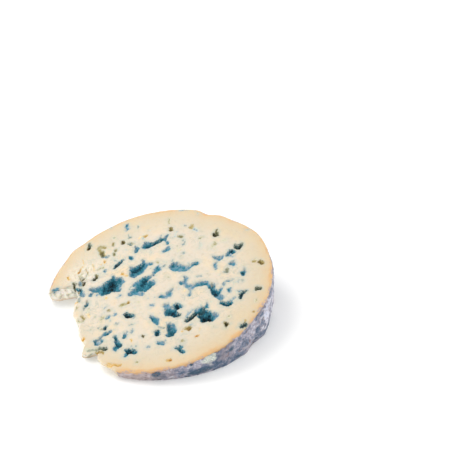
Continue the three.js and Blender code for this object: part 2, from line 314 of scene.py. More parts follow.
# Dents that shape the rind's side: degrees round the drum, height as a share of the
# rind's, half width round the drum, half height, and depth.
RIND_DENTS = [
    (-109, 0.75, 6.0, 4.5, 0.9), (-79, 0.1, 5.0, 6.0, 0.8), (-52, 0.55, 7.0, 6.0, 0.9),
    (-33, 0.3, 5.0, 6.0, 0.8), (-6, 0.65, 9.0, 7.0, 1.0), (28, 0.25, 7.0, 6.0, 0.9),
    (52, 0.6, 6.0, 5.0, 0.8), (81, 0.35, 8.0, 5.0, 1.0), (114, 0.6, 5.0, 3.0, 0.7),
    (-142, 0.3, 4.0, 2.0, 0.5),
]

# Blotches on the rind: degrees round the drum, height as a share of the rind's, half
# width round the drum, half height, and strength. First a scuff that lays the pale paste
# bare, then dark patches of mould, then pale, felty bloom. The broad blooms at -67 and -50
# degrees, on the side that the right fill lights, are partly painted light.
SCUFF = (-108.8, 0.66, 5.0, 3.5, 1.0)
RIND_SPOTS = [
    (-134.8, 0.66, 2.8, 2.6, 1.3), (-113.5, 0.24, 6.8, 1.9, 1.8), (-97.0, 0.62, 2.4, 2.0, 1.0),
    (-85.5, 0.35, 2.6, 1.5, 0.8), (-79.0, 0.15, 4.5, 1.3, 0.9), (-72.0, 0.60, 2.0, 2.2, 0.7),
    (-87.0, 0.95, 1.6, 1.0, 1.0), (-92.0, 0.12, 3.5, 1.0, 0.8), (-118.0, 0.80, 1.2, 1.1, 0.9),
    (-64.0, 0.30, 3.5, 1.6, 0.6), (-52.0, 0.62, 2.4, 2.0, 0.6), (-38.0, 0.25, 5.0, 1.8, 0.7),
    (-20.0, 0.55, 3.0, 2.4, 0.7), (2.0, 0.30, 6.0, 1.8, 0.8), (18.0, 0.72, 2.6, 2.0, 0.7),
    (37.0, 0.40, 4.0, 2.2, 0.7), (55.0, 0.20, 5.0, 1.5, 0.8), (74.0, 0.62, 2.5, 2.5, 0.7),
    (93.0, 0.35, 4.5, 1.7, 0.8), (112.0, 0.55, 2.6, 1.6, 0.7), (124.0, 0.30, 3.0, 1.2, 0.8),
]
RIND_BLOOMS_AND_LIT_PATCHES = [
    (-149, 0.5, 7.0, 4.0, 0.8), (-128, 0.3, 3.0, 1.2, 0.5), (-67, 0.65, 7.0, 9.0, 1.35),
    (-50, 0.45, 10.0, 12.0, 0.9), (-24, 0.7, 7.0, 7.0, 0.8), (9, 0.4, 9.0, 6.0, 0.9),
    (43, 0.6, 8.0, 6.0, 0.9), (67, 0.3, 6.0, 4.0, 0.8), (103, 0.5, 7.0, 4.0, 1.0),
]

# Where the face has crumbled beside the break: middle in plan, reach, and how deep.
CRUMBLED, CRUMBLED_REACH, CRUMB_DEPTH = (-21.0, 44.0), 9.5, 0.55
ROUNDED_REACH, ROUNDED_DEPTH = 1.8, 0.7  # how the face rounds over at its edge
TORN_REACH = 2.2  # how far the break's torn look runs in over the face
LEAST_FLOOR = 2.0  # paste left under the deepest pocket

# Fine relief, each as the height and the feature size of its noise. The face carries
# slow waves, a curdy grain and the knife's drag, pockets have uneven floors and ragged,
# frayed rims, and the broken edge juts out in crumbs over its wall.
FACE_WAVES, FACE_GRAIN, KNIFE_DRAG = (0.16, 13), (0.08, 3.1), (0.035, 2.4)
POCKET_FLOOR, RAGGED_RIM, FRAYED_RIM = (0.3, 1.6), (0.75, 3.4), (0.34, 1.25)
BIG_CRUMBS, SMALL_CRUMBS, EDGE_CRUMBS = 2.4, 1.1, (0.4, 2.6)
# The rind has lumps, a fine grain and creases, and the broken wall chips and chip edges.
RIND_RELIEF, RIND_GRAIN = (0.34, 5.5), (0.12, 1.5)
CREASE_DEPTH, CREASE_SIZE = 0.5, 7.0
CHIPS, CHIP_EDGES = (0.9, 3.2), (0.45, 1.3)
SCUFF_DEPTH = 0.8

BASE_POCKETS, BASE_REACH = 110, 55
STAIN_POCKETS, STAIN_REACH = 130, 50
SEED = 41

TOP_CELLS = 232  # grid cells across the cut face; the base has half as many
SIDE_ROWS = 26
DEPTH_COLUMN = 8  # of the pockets' rows

FLOOR_HALF_SIZE = 8.0  # metres, as are the stage's other lengths
CORNERS = ((-1, -1), (1, -1), (1, 1), (-1, 1))
SKY_STRENGTH = 0.74
SENSOR_WIDTH = 36  # mm
NEAREST_IN_VIEW = 0.01
VIEW_TARGET = np.array([0.0936, 0.0364, 0.0])  # on the floor, so the slice stands off centre
LIGHTS = [
    # name, turn from the view and height in degrees, distance, size, watts
    ("key", -125, 52, 1.0, 0.6, 4.4),
    ("right fill", 105, 26, 1.2, 1.0, 6.5),
    ("left fill", -45, 18, 1.3, 1.0, 4.7),
]


def noise(points, scale, seed, octaves=1):
    """Gradient noise in 3D, about -1 to 1: at each corner of the lattice cell around a
    point stands a random direction, and the directions' dot products with the offset
    from the corner are blended by a quintic ease. Octaves halve in size and height."""
    rng = np.random.default_rng(seed)
    table = rng.permutation(256)
    ways = rng.normal(size=(256, 3))
    ways /= np.linalg.norm(ways, axis=1, keepdims=True)
    total = np.zeros(len(points))
    for octave in range(octaves):
        place = points * 2.0**octave / scale + 17.3 * octave
        cell = np.floor(place).astype(int)
        offset = place - cell
        ease = offset**3 * (offset * (offset * 6 - 15) + 10)
        for corner in np.ndindex(2, 2, 2):
            key = cell + corner
            pick = table[(table[(table[key[:, 0] % 256] + key[:, 1]) % 256] + key[:, 2]) % 256]
            dot = np.einsum("ij,ij->i", ways[pick], offset - corner)
            weight = np.prod(np.where(corner, ease, 1 - ease), axis=1)
            total += 1.6 * dot * weight / 2.0**octave
    return total


def raised(points, relief, seed, octaves=1):
    """Noise at a relief's height and feature size."""
    height, size = relief
    return height * noise(points, size, seed, octaves)


def smooth(low, high, value):
    """The ease 3q^2 - 2q^3, where q runs from 0 at low to 1 at high."""
    q = np.clip((value - low) / (high - low), 0, 1)
    return q * q * (3 - 2 * q)


def flat3(plan):
    """Points in plan as 3D points in the plane of the base."""
    return np.column_stack([plan, np.zeros(len(plan))])


def bells(angle, lumps):
    """The sum of bell-shaped lumps and dents round the drum: each is its height times
    e to the power -q^2, where q is the turn from its middle over its half width."""
    turn = np.degrees(angle)
    return sum(height * np.exp(-(((turn - at) / width) ** 2)) for at, width, height in lumps)


def rind_radius(angle):
    """The drum's radius less a slow waviness, the sum of a few sines round the drum,
    plus bell-shaped lumps and dents."""
    waves = sum(np.sin(count * angle + 2 * i) for i, count in enumerate(RIND_WAVES))
    dip = RIND_DIP * (0.5 + 0.5 * waves / len(RIND_WAVES))
    return DRUM_RADIUS - dip + bells(angle, RIND_LUMPS)


def catmull_rom(points, steps):
    """A Catmull-Rom curve through points: on each span the cubic whose end slopes are
    half the chords between the neighbours on either side."""
    p = np.array([points[0], *points, points[-1]])
    q = np.linspace(0, 1, steps, endpoint=False)[None, :, None]
    a, b, c, d = (p[i : len(p) - 3 + i, None, :] for i in range(4))
    square, cube = 2 * a - 5 * b + 4 * c - d, 3 * b - a - 3 * c + d
    spans = 0.5 * (2 * b + (c - a) * q + square * q**2 + cube * q**3)
    return np.vstack([spans.reshape(-1, 2), p[-1]])


def closed_line(ends, broken, inset, lumps):
    """The slice in plan as a closed line from one end of the rind round to the other
    and back along the break, and how many of its points are the rind's."""
    angle = np.radians(np.linspace(*ends, RIND_STEPS))
    radius = rind_radius(angle) + bells(angle, lumps) - inset
    rind = radius[:, None] * np.column_stack([np.cos(angle), np.sin(angle)])
    edge = catmull_rom([rind[-1], *broken, rind[0]], BREAK_STEPS)
    return np.vstack([rind, edge[1:-1]]), len(rind)


def outlines(count):
    """The upper and lower outlines as closed lines of count points, matched to each
    other point by point, at even steps of the upper one's length from angle 0. Also
    how far each point lies along the break: 0 on the rind, 1 on the break."""
    top, rind_count = closed_line(TOP_ENDS, TOP_BREAK, 0.0, [])
    foot, _ = closed_line(FOOT_ENDS, FOOT_BREAK, FOOT_INSET, FOOT_LUMPS)
    sound = rind_count - CHIPPED_STEPS
    is_broken = np.r_[np.zeros(sound), np.ones(len(top) - sound)]
    start = int(np.argmin(np.hypot(top[:, 0] - rind_radius(0.0), top[:, 1])))
    table = np.roll(np.column_stack([top, foot, is_broken]), -start, axis=0)
    table = np.vstack([table, table[:1]])
    length = np.r_[0, np.cumsum(np.linalg.norm(np.diff(table[:, :2], axis=0), axis=1))]
    wanted = np.arange(count) * length[-1] / count
    even = np.column_stack([np.interp(wanted, length, column) for column in table.T])
    broken = even[:, 4]
    for _ in range(3):
        broken = (np.roll(broken, 1) + broken + np.roll(broken, -1)) / 3
    return even[:, :2], even[:, 2:4], broken


def inward(line):
    """Unit normals of a closed line in plan that runs anticlockwise, pointing in."""
    along = np.roll(line, -1, axis=0) - np.roll(line, 1, axis=0)
    along /= np.linalg.norm(along, axis=1, keepdims=True)
    return np.column_stack([-along[:, 1], along[:, 0]])


def disc_grid(cells):
    """A square grid of vertices laid on a unit disc by the concentric map: each square
    ring becomes a circle. Gives every vertex's share of the radius and turn, its quads
    and the outer ring's vertices in order of turn."""
    ticks = np.linspace(-1, 1, cells + 1)
    u, v = (axis.ravel() for axis in np.meshgrid(ticks, ticks, indexing="ij"))
    wide = np.abs(u) >= np.abs(v)
    safe_u, safe_v = np.where(u == 0, 1e-12, u), np.where(v == 0, 1e-12, v)
    sideways, upward = v / safe_u / 8 + 0.5 * (u < 0), 0.25 - u / safe_v / 8 + 0.5 * (v < 0)
    turn = np.where(wide, sideways, upward) % 1.0
    share = np.maximum(np.abs(u), np.abs(v))
    turn[share == 0] = 0
    index = np.arange((cells + 1) ** 2).reshape(cells + 1, cells + 1)
    quads = np.stack([index[:-1, :-1], index[1:, :-1], index[1:, 1:], index[:-1, 1:]], axis=-1)
    ring = np.flatnonzero(share > 1 - 1e-9)
    return share, turn, quads.reshape(-1, 4), ring[np.argsort(turn[ring])]


def spread(line, hub, share, turn):
    """Grid vertices in plan: from the hub a straight line runs out to each point of the
    closed outline, and a vertex lies its share of the way along the line at its turn."""
    at = turn * len(line)
    low = np.floor(at).astype(int) % len(line)
    part = (at - np.floor(at))[:, None]
    edge = line[low] * (1 - part) + line[(low + 1) % len(line)] * part
    return hub + share[:, None] * (edge - hub)


def cut_height(plan):
    """Height of the slanted face over the base."""
    return AXIS_THICKNESS + FACE_SLOPE * plan[:, 0]


def placed_pockets(table):
    """The pockets of a table of text: depth, hue and a list of discs for each line."""
    lines = [line for line in table.strip().splitlines() if not line.strip().startswith("#")]
    pockets = []
    for line in lines:
        (depth, hue), *discs = (tuple(map(float, part.split())) for part in line.split("|"))
        pockets.append((depth, hue, discs))
    return pockets


def chains(pockets):
    """Every pocket's discs as capsules between neighbours: ends, radii, tones, depth
    and hue, one row to a capsule."""
    rows = []
    for depth, hue, discs in pockets:
        pairs = zip(discs[:-1], discs[1:]) if len(discs) > 1 else [(discs[0], discs[0])]
        rows += [(*a, *b, depth, hue) for a, b in pairs]
    return np.array(rows)


def stray_pockets(count, seed, reach, faint):
    """Seeded pockets: short random walks of discs inside a radius, the big ones rare.
    Faint ones are shallow stains."""
    rng = np.random.default_rng(seed)
    pockets = []
    for _ in range(count):
        radius, around = reach * np.sqrt(rng.random()), 2 * np.pi * rng.random()
        at = np.array([radius * np.cos(around), radius * np.sin(around)])
        size = rng.uniform(0.28, 0.75) if faint else 0.6 + 2.4 * rng.random() ** 2.5
        heading = rng.uniform(0, 2 * np.pi)
        tone = rng.uniform(0.14, 0.5) ** 1.3 if faint else rng.uniform(0.35, 1)
        odds = [0.15, 0.45, 0.35, 0.05] if faint else [0.72, 0.1, 0.13, 0.05]
        hue = rng.choice([0.05, 0.25, 0.45, 0.95], p=odds)
        discs = []
        for _ in range(rng.integers(1, 5)):
            across, change = size * rng.uniform(0.6, 1.1), rng.uniform(-0.2, 0.2)
            discs.append((*at, across, np.clip(tone + change, 0.1, 1)))
            heading += rng.uniform(-0.9, 0.9)
            at = at + 1.9 * size * np.array([np.cos(heading), np.sin(heading)])
        pockets.append((0.3 if faint else size * rng.uniform(0.8, 1.8), hue, discs))
    return pockets


def mould_at(plan, rows, seed):
    """Distance in plan to the nearest pocket's rim, negative inside, with the depth,
    tone and hue there. The place is first shifted by noise, which makes the rims
    ragged. A capsule's distance is that to its middle line less its radius, and tone
    and hue are averages that weigh the nearest and the darkest capsules most."""
    place = flat3(plan)
    shift = [
        raised(place, RAGGED_RIM, seed + k) + raised(place, FRAYED_RIM, seed + 7 + k, 2)
        for k in (0, 1)
    ]
    warped = plan + np.column_stack(shift)
    nearest, weight = np.full(len(plan), 9.0), np.full(len(plan), 1e-9)
    depth, tone, hue = np.zeros((3, len(plan)))
    for ax, ay, ar, at, bx, by, br, bt, deep, tint in rows:
        reach = max(ar, br) + 6
        box = (warped[:, 0] > min(ax, bx) - reach) & (warped[:, 0] < max(ax, bx) + reach)
        box &= (warped[:, 1] > min(ay, by) - reach) & (warped[:, 1] < max(ay, by) + reach)
        near = np.flatnonzero(box)
        along = np.array([bx - ax, by - ay])
        offset = warped[near] - (ax, ay)
        share = np.clip(offset @ along / max(along @ along, 1e-9), 0, 1)
        gap = np.linalg.norm(offset - share[:, None] * along, axis=1) - (ar + share * (br - ar))
        gap -= min(0.3, 0.3 * max(ar, br))
        wall = min(max(ar, br), 2.0)
        fall = 1 - (1 - np.clip(-gap / wall, 0, 1)) ** 2.6
        depth[near] = np.maximum(depth[near], deep * fall)
        dark = smooth(0.7, 1.0, 0.5 * (at + bt))
        pull = np.exp(-np.clip(gap, -0.8, 8) / 0.4) * (0.3 + 1.3 * dark)
        weight[near] += pull
        tone[near] += pull * (at + share * (bt - at))
        hue[near] += pull * tint
        nearest[near] = np.minimum(nearest[near], gap)
    return nearest, depth, tone / weight, hue / weight


def snapped(plan, rows, seed, cell, movable):
    """Draws the vertices within about 0.4 of a cell of a rim onto it, down the
    distance's slope, so that rims are crisp lines and not stairs."""
    step = 0.05
    here = mould_at(plan, rows, seed)[0]
    there = [mould_at(plan + move, rows, seed)[0] for move in ([step, 0], [0, step])]
    slope = (np.column_stack(there) - here[:, None]) / step
    size = np.maximum((slope**2).sum(axis=1), 0.3)
    move = -(here / size)[:, None] * slope
    length = np.linalg.norm(move, axis=1)
    take = (length < 0.42 * cell) & movable & (here < 5)
    return plan + move * take[:, None]


def spot_field(angle, level, spots):
    """How strongly blotches cover a place on the rind: each one's strength times 1.3
    less the distance from its middle, where the ellipse round it is at distance 1. The
    strongest counts, and nothing falls below 0."""
    rind_height = AXIS_THICKNESS + FACE_SLOPE * DRUM_RADIUS * np.cos(angle)
    cover = np.zeros(len(angle))
    for degrees, up, half_width, half_height, strength in spots:
        around = np.angle(np.exp(1j * (angle - np.radians(degrees)))) * DRUM_RADIUS
        rise = level - up * rind_height
        reach = np.hypot(around / half_width, rise / half_height)
        cover = np.maximum(cover, strength * (1.3 - reach))
    return cover


class Surface:
    """The slice's vertices and faces as they are gathered, with one value of each
    attribute to a vertex."""

    NAMES = ("mould", "tone", "hue", "pit", "rim", "rind", "broken", "spot", "scuff", "bloom")

    def __init__(self):
        self.points, self.faces, self.count = [], [], 0
        self.values = {name: [] for name in self.NAMES}

    def add(self, points, **values):
        """Adds vertices and gives the number of the first."""
        first = self.count
        self.points.append(points)
        for name in self.NAMES:
            value = np.broadcast_to(values.get(name, 0.0), len(points))
            self.values[name].append(value.astype(float))
        self.count += len(points)
        return first


def cut_face(surface, line, is_broken, hub, cells, seed, rows, upper):
    """The slanted face, or the base: the disc grid spread over the outline, vertices
    drawn to the pockets' rims, then height by the cut, less fine relief, crumbs and
    pockets. Toward the outline the face rounds over. The base is flat but for its
    pockets."""
    share, turn, quads, ring = disc_grid(cells)
    plan = spread(line, hub, share, turn)
    plan = snapped(plan, rows, seed, 2 * DRUM_RADIUS / cells, share < 1 - 3.0 / cells)
    gap, depth, tone, hue = mould_at(plan, rows, seed)
    outer = spread(line, hub, np.ones(len(share)), turn)
    edge = (1 - share) * np.linalg.norm(outer - hub, axis=1)
    place = flat3(plan)
    depth = depth * (0.86 + raised(place, POCKET_FLOOR, seed + 20, 2))
    height = cut_height(plan)
    if upper:
        relief = raised(place, FACE_WAVES, seed + 30) + raised(place, FACE_GRAIN, seed + 31, 3)
        drag = raised(place * (0.35, 2.6, 1), KNIFE_DRAG, seed + 32, 2)
        rounding = ROUNDED_DEPTH * (1 - smooth(0, ROUNDED_REACH, edge)) ** 1.5
        crumbled = np.exp(-((np.hypot(*(plan - CRUMBLED).T) / CRUMBLED_REACH) ** 2))
        crumbs = smooth(0.0, 0.35, noise(place, BIG_CRUMBS, seed + 33, 2))
        crumbs += 0.5 * smooth(0.1, 0.3, noise(place, SMALL_CRUMBS, seed + 34))
        lowered = np.maximum(0.26 - relief - drag, 0) + rounding
        lowered += CRUMB_DEPTH * crumbled * crumbs
        pit = np.minimum(depth, np.maximum(height - LEAST_FLOOR, 0.3))
        z = height - lowered - pit * (0.5 + 0.5 * smooth(0, 1.5, edge))
    else:
        z = np.minimum(depth, 0.35 * height) * smooth(0.6, 2.0, edge)
        crumbled = 0.0
    torn = np.interp(turn * len(line), np.arange(len(line) + 1), np.r_[is_broken, is_broken[0]])
    torn = 0.45 * torn * smooth(TORN_REACH, 0.0, edge) * smooth(0, 0.2, share)
    radius = np.hypot(plan[:, 0], plan[:, 1])
    rim = rind_radius(np.arctan2(plan[:, 1], plan[:, 0])) - radius
    first = surface.add(
        np.column_stack([plan, z]),
        mould=gap,
        tone=tone,
        hue=hue,
        pit=depth,
        rim=rim + 4 * torn,
        broken=np.maximum(torn, 0.4 * crumbled),
    )
    surface.faces.append((quads if upper else quads[:, ::-1]) + first)
    return ring + first


def side_wall(surface, top_ring, foot, is_broken, rows, seed):
    """The rind and the broken edge as rows of vertices, each row a step on the way from
    the face's edge to the base's outline. Noise and dents move the rind, and rougher
    noise the break, always inward. The steps are short at top and foot."""
    top = surface.points[0][top_ring]
    foot = flat3(foot)
    even = np.linspace(0, 1, SIDE_ROWS + 1)[1:]
    level = 0.45 * even + 0.55 * (0.5 - 0.5 * np.cos(np.pi * even))
    way = inward(top)
    upper = top_ring
    for row, v in enumerate(level):
        base = top * (1 - v) + foot * v
        angle = np.arctan2(base[:, 1], base[:, 0])
        below = top[:, 2] - base[:, 2]
        # The side bellies out between face and foot, but never past the solid's box.
        room = np.minimum(HIGHEST[:2] / MM - base[:, :2], base[:, :2] - LOWEST[:2] / MM)
        swell = (0.5 + 0.8 * smooth(12, 28, top[:, 2])) * smooth(0, 2.5, below)
        swell = np.minimum(swell * smooth(0, 4.0, base[:, 2]), 0.1 + 0.8 * room.min(axis=1))
        relief = raised(base, RIND_RELIEF, seed, 3)
        grain = raised(base * (1, 1, 1.4), RIND_GRAIN, seed + 1, 2)
        crease = 1 - np.abs(noise(base * (1, 1, 3.0), CREASE_SIZE, seed + 2, 2))
        crease = CREASE_DEPTH * smooth(0.86, 1.0, crease)
        hollow = np.maximum(spot_field(angle, base[:, 2], RIND_DENTS), 0)
        scuff = spot_field(angle, base[:, 2], [SCUFF])
        dent = np.maximum(0.36 - relief - grain + crease, 0) - swell
        dent += smooth(0, 1.2, hollow) * hollow + SCUFF_DEPTH * smooth(0.1, 0.9, scuff)
        dent += 0.25 * smooth(1.0, 0.0, base[:, 2])
        chip = raised(base, CHIPS, seed + 3, 3) + np.abs(raised(base, CHIP_EDGES, seed + 4, 2))
        chip = np.maximum(chip + 0.6, 0) * smooth(0, 1.2, below) * smooth(0, 0.8, base[:, 2])
        move = dent * smooth(0, 0.8, below) * (1 - is_broken) + chip * is_broken
        points = base.copy()
        points[:, :2] += way * move[:, None]
        gap, depth, tone, hue = mould_at(points[:, :2], rows, SEED)
        # Mould fades on its way down a wall, a faint pocket's soonest.
        fade = (0.2 + 0.7 * smooth(0.8, 0.3, tone)) * np.maximum(below - 0.5 * depth, 0)
        ring = surface.add(
            points,
            mould=gap + fade + 8 * (1 - is_broken) * smooth(0.2, 1.5, below),
            tone=tone,
            hue=hue,
            pit=depth * is_broken,
            rind=1 - is_broken,
            broken=is_broken * smooth(0, 0.8, below),
            rim=below + 9 * is_broken,
            spot=spot_field(angle, base[:, 2], RIND_SPOTS),
            scuff=scuff,
            bloom=spot_field(angle, base[:, 2], RIND_BLOOMS_AND_LIT_PATCHES),
        ) + np.arange(len(top))
        surface.faces.append(np.column_stack([upper, ring, np.roll(ring, -1), np.roll(upper, -1)]))
        upper = ring
    return upper


def close_base(surface, foot_ring, base_ring):
    """Joins the foot of the side, with two vertices to each step, to the base's outer
    ring, with one: three triangles to a step."""
    a, b, c = foot_ring[0::2], foot_ring[1::2], np.roll(foot_ring, -2)[0::2]
    low, high = base_ring, np.roll(base_ring, -1)
    for triangle in ((a, low, b), (b, low, high), (b, high, c)):
        surface.faces.append(np.column_stack(triangle))


def linear(hex_colour):
    """An sRGB hex colour as linear RGBA: c/12.92 below 0.04045, and above it
    ((c + 0.055)/1.055) to the power 2.4."""
    value = np.array([int(hex_colour[i : i + 2], 16) for i in (1, 3, 5)]) / 255
    return (*np.where(value <= 0.04045, value / 12.92, ((value + 0.055) / 1.055) ** 2.4), 1.0)


# The shaders' nodes by a short name: type, fixed settings, the input sockets in the order
# that values are given in, and the socket that is handed on.
EASE_SOCKETS = ("Value", "From Min", "From Max", "To Min", "To Max")
NOISE_SOCKETS = ("Vector", "Scale", "Detail", "Roughness", "Distortion")
MIX_SOCKETS, MIX_RESULT = (0, 6, 7), 2  # factor, first and second colour
KINDS = {
    "place": ("TexCoord", {}, (), "Object"),
    "along x": ("SeparateXYZ", {}, ("Vector",), "X"),
    "along y": ("SeparateXYZ", {}, ("Vector",), "Y"),
    "along z": ("SeparateXYZ", {}, ("Vector",), "Z"),
    "scaled": ("Mapping", {}, ("Vector", "Scale"), "Vector"),
    "attribute": ("Attribute", {}, (), "Fac"),
    "noise": ("TexNoise", {}, NOISE_SOCKETS, "Fac"),
    "ease": ("MapRange", {"interpolation_type": "SMOOTHSTEP"}, EASE_SOCKETS, "Result"),
    "plus": ("Math", {"operation": "ADD"}, (0, 1), 0),
    "minus": ("Math", {"operation": "SUBTRACT"}, (0, 1), 0),
    "times": ("Math", {"operation": "MULTIPLY"}, (0, 1), 0),
    "size of": ("Math", {"operation": "ABSOLUTE"}, (0, 1), 0),
    "ramp": ("ValToRGB", {}, ("Fac",), "Color"),
    "mix": ("Mix", {"data_type": "RGBA"}, MIX_SOCKETS, MIX_RESULT),
    "bump": ("Bump", {}, ("Height", "Distance", "Strength", "Normal"), "Normal"),
    "shader": ("BsdfPrincipled", {}, (), "BSDF"),
    "output": ("OutputMaterial", {}, ("Surface",), None),
}


def node(tree, kind, *values, named=None, stops=None, **settings):
    """Adds a shader node of one of the kinds above, with its settings and links, and
    gives the socket it hands on. A value is a number, a hex colour or the socket that
    feeds it. Stops are a ramp's hex colours by position."""
    type_name, fixed, sockets, result = KINDS[kind]
    made = tree.nodes.new("ShaderNode" + type_name)
    for name, value in {**fixed, **settings}.items():
        setattr(made, name, value)
    for socket, value in {**dict(zip(sockets, values)), **(named or {})}.items():
        if isinstance(value, bpy.types.NodeSocket):
            tree.links.new(value, made.inputs[socket])
        else:
            made.inputs[socket].default_value = linear(value) if isinstance(value, str) else value
    for i, (position, colour) in enumerate((stops or {}).items()):
        elements = made.color_ramp.elements
        stop = elements[i] if i < 2 else elements.new(position)
        stop.position = position
        stop.color = linear(colour)
    return None if result is None else made.outputs[result]


def across(size_mm):
    """The scale of a noise whose features are about size_mm across."""
    return 1 / (size_mm * MM)


def new_material(name):
    """A material with an empty node tree, and the function that adds to it."""
    material = bpy.data.materials.new(name)
    material.use_nodes = True
    material.node_tree.nodes.clear()
    return material, partial(node, material.node_tree)


def finish_material(add, shader_inputs, heights):
    """A Principled shader and its output. Heights are (height, millimetres) pairs that
    each add a bump over the last."""
    normal = ()
    for height, size_mm in heights:
        normal = (add("bump", height, size_mm * MM, 1.0, *normal),)
    add("output", add("shader", named={**shader_inputs, "Normal": normal[0]}))


def mould_colour(add, tone, hue):
    """Mould from a faint stain to nearly black, blue-green, olive or ochre by hue."""
    colours = bpy.context.scene.cheese_colours
    blue = add("ramp", tone, stops={
        0.0: "#ced0c3",
        0.2: "#a3b2b2",
        0.38: colours.pale_mould,
        0.58: colours.blue_mould,
        0.8: colours.deep_mould,
        1.0: "#0a222b",
    })
    olive = add("ramp", tone, stops={
        0.0: "#d9d3b8",
        0.25: "#b5ae8c",
        0.45: colours.olive_mould,
        0.7: "#6b6138",
        0.9: "#33331f",
        1.0: "#1a1e17",
    })
    ochre = add("ramp", tone, stops={
        0.0: "#ecd8ae",
        0.3: "#e0bb74",
        0.5: colours.ochre_mould,
        0.75: "#b06d1c",
        1.0: "#5a3d1a",
    })
    greenish = add("mix", add("ease", hue, 0.1, 0.5), blue, olive)
    return add("mix", add("ease", hue, 0.55, 0.95), greenish, ochre)


def paste_material():
    """Cut blue cheese paste, semi-soft and moist: cream and faintly translucent, with a
    curdy grain, warmer and more golden under the rind, greyer round the veins. The
    mould in its pockets is a dry powder: dull, and ragged at the rim."""
    colours = bpy.context.scene.cheese_colours
    material, add = new_material("cut_blue_cheese_paste")
    place = add("place")
    cloud = add("noise", place, across(16), 3, 0.55)
    curd = add("noise", place, across(2.6), 4, 0.6)
    grain = add("noise", place, across(0.9), 3, 0.6)
    # Mould spores are hundredths of a millimetre across, and are drawn coarser to show.
    fuzz = add("noise", place, across(0.55), 2, 0.7)
    gap, tone, hue, rim, broken, pit = (
        add("attribute", attribute_name=name)
        for name in ("mould", "tone", "hue", "rim", "broken", "pit")
    )

    cream = add("ramp", cloud, stops={
        0.3: colours.paste_grey,
        0.5: colours.paste,
        0.7: colours.paste_warm,
    })
    curds = add("ramp", curd, stops={0.32: "#e3dcc9", 0.5: "#ffffff", 0.72: "#fff4e2"})
    cream = add("mix", 0.35, cream, curds, blend_type="MULTIPLY")
    # Hair-thin grey seams between the curds, where mould has crept, away from the rind.
    seam = add("noise", place, across(7), 3, 0.6, 1.2)
    seam = add("ease", add("size of", add("minus", seam, 0.5)), 0.028, 0.004)
    strong = add("ease", add("noise", place, across(21), 2, 0.55), 0.48, 0.6, 0.05, 0.55)
    seam = add("times", add("times", seam, strong), add("ease", rim, 6.0, 18.0))
    cream = add("mix", seam, cream, "#a9b0a2")
    # A break shows paler, greyer curd than the knife's smooth cut, and is painted paler still as
    # painted light, so that the broken wall and the crumbled face look lit.
    torn = add("times", broken, add("ease", curd, 0.3, 0.6, 0.6, 1.0))
    cream = add("mix", add("ease", rim, 24.0, 7.0, 0.0, 0.62), cream, "#cfbe9d")
    cream = add("mix", torn, cream, "#fcf6ea")
    # Bruises of mould run through the break at every height.
    bruise = add("ease", add("noise", place, across(5.5), 4, 0.62, 0.4), 0.56, 0.68, 0.0, 0.75)
    wall = add("ease", broken, 0.5, 0.9)
    cream = add("mix", add("times", bruise, wall), cream, "#9aaba0")
    # Along its long, undercut run the break is drier, and mould has grown in its cracks.
    y = add("along y", place)
    run = add("times", add("ease", y, 37 * MM, 33 * MM), add("ease", y, 0.0, 3 * MM))
    run = add("times", run, wall)
    cream = add("mix", add("times", run, 0.6), cream, "#e2d6be")
    vein = add("noise", place, across(4.6), 3, 0.6, 0.9)
    for thin, thick, most, colour in ((0.54, 0.62, 0.8, "#7f9ba4"), (0.6, 0.7, 0.9, "#2c6072")):
        grown = add("times", run, add("ease", vein, thin, thick, 0.0, most))
        cream = add("mix", grown, cream, colour)
    crevice = add("times", add("ease", curd, 0.42, 0.3), add("ease", broken, 0.5, 0.9, 0.0, 0.55))
    cream = add("mix", crevice, cream, "#cdbf9f")
    # The golden band under the rind, deepest right at it, and uneven in width.
    uneven = add("plus", rim, add("ease", cloud, 0.3, 0.7, -1.6, 1.6))
    warm = add("mix", add("ease", uneven, 9.0, 1.5, 0.0, 0.55), cream, colours.rim_band)
    warm = add("mix", add("ease", uneven, 2.6, 0.4, 0.0, 0.62), warm, colours.rim_edge)
    # The knife's cut through the thin rind shows as a broken greyish line at the edge.
    nibbled = add("ease", add("noise", place, across(3.8), 4, 0.6), 0.46, 0.62, -0.6, 1.2)
    crust = add("minus", rim, nibbled)
    warm = add("mix", add("ease", crust, 0.6, -0.4, 0.0, 0.7), warm, "#aa9ba3")
    # A broken wall is tinted brownish over its lowest millimetre, down to the base.
    low = add("ease", add("along z", place), 1.1 * MM, 0.3 * MM, 0.0, 0.5)
    warm = add("mix", add("times", broken, low), warm, "#dcb083")
    # Mould tints the paste next to it a cold grey for a millimetre or two.
    near = add("plus", gap, add("ease", curd, 0.3, 0.7, -0.7, 0.7))
    halo = add("ease", near, 2.8, -0.2, 0.0, 0.62)
    halo = add("times", halo, add("ease", tone, 0.1, 0.7, 0.25, 1.0))
    halo = add("times", halo, add("ease", hue, 0.9, 0.4, 0.1, 1.0))
    stained = add("mix", halo, warm, "#b4bcb0")

    ragged = add("plus", gap, add("ease", grain, 0.25, 0.75, -0.42, 0.42))
    ragged = add("plus", ragged, add("ease", fuzz, 0.25, 0.75, -0.16, 0.16))
    cover = add("ease", ragged, 0.36, -0.34)
    # Inside the rim the powder starts pale and thickens to its full tone.
    thick = add("ease", ragged, 0.1, -1.3, -0.26, 0.0)
    speckle = add("ease", fuzz, 0.3, 0.7, -0.11, 0.11)
    powder = add("ease", add("noise", place, across(1.9), 3, 0.6), 0.3, 0.7, -0.15, 0.17)
    shade = add("plus", add("plus", tone, thick), add("plus", speckle, powder))
    colour = add("mix", cover, stained, mould_colour(add, shade, hue))
    # The deepest parts of a pocket are painted near black by their depth: partly painted shade,
    # partly dense, dark mould.
    deep = add("times", add("ease", pit, 2.4, 5.0, 0.0, 0.45), cover)
    colour = add("mix", deep, colour, "#0a1a20")

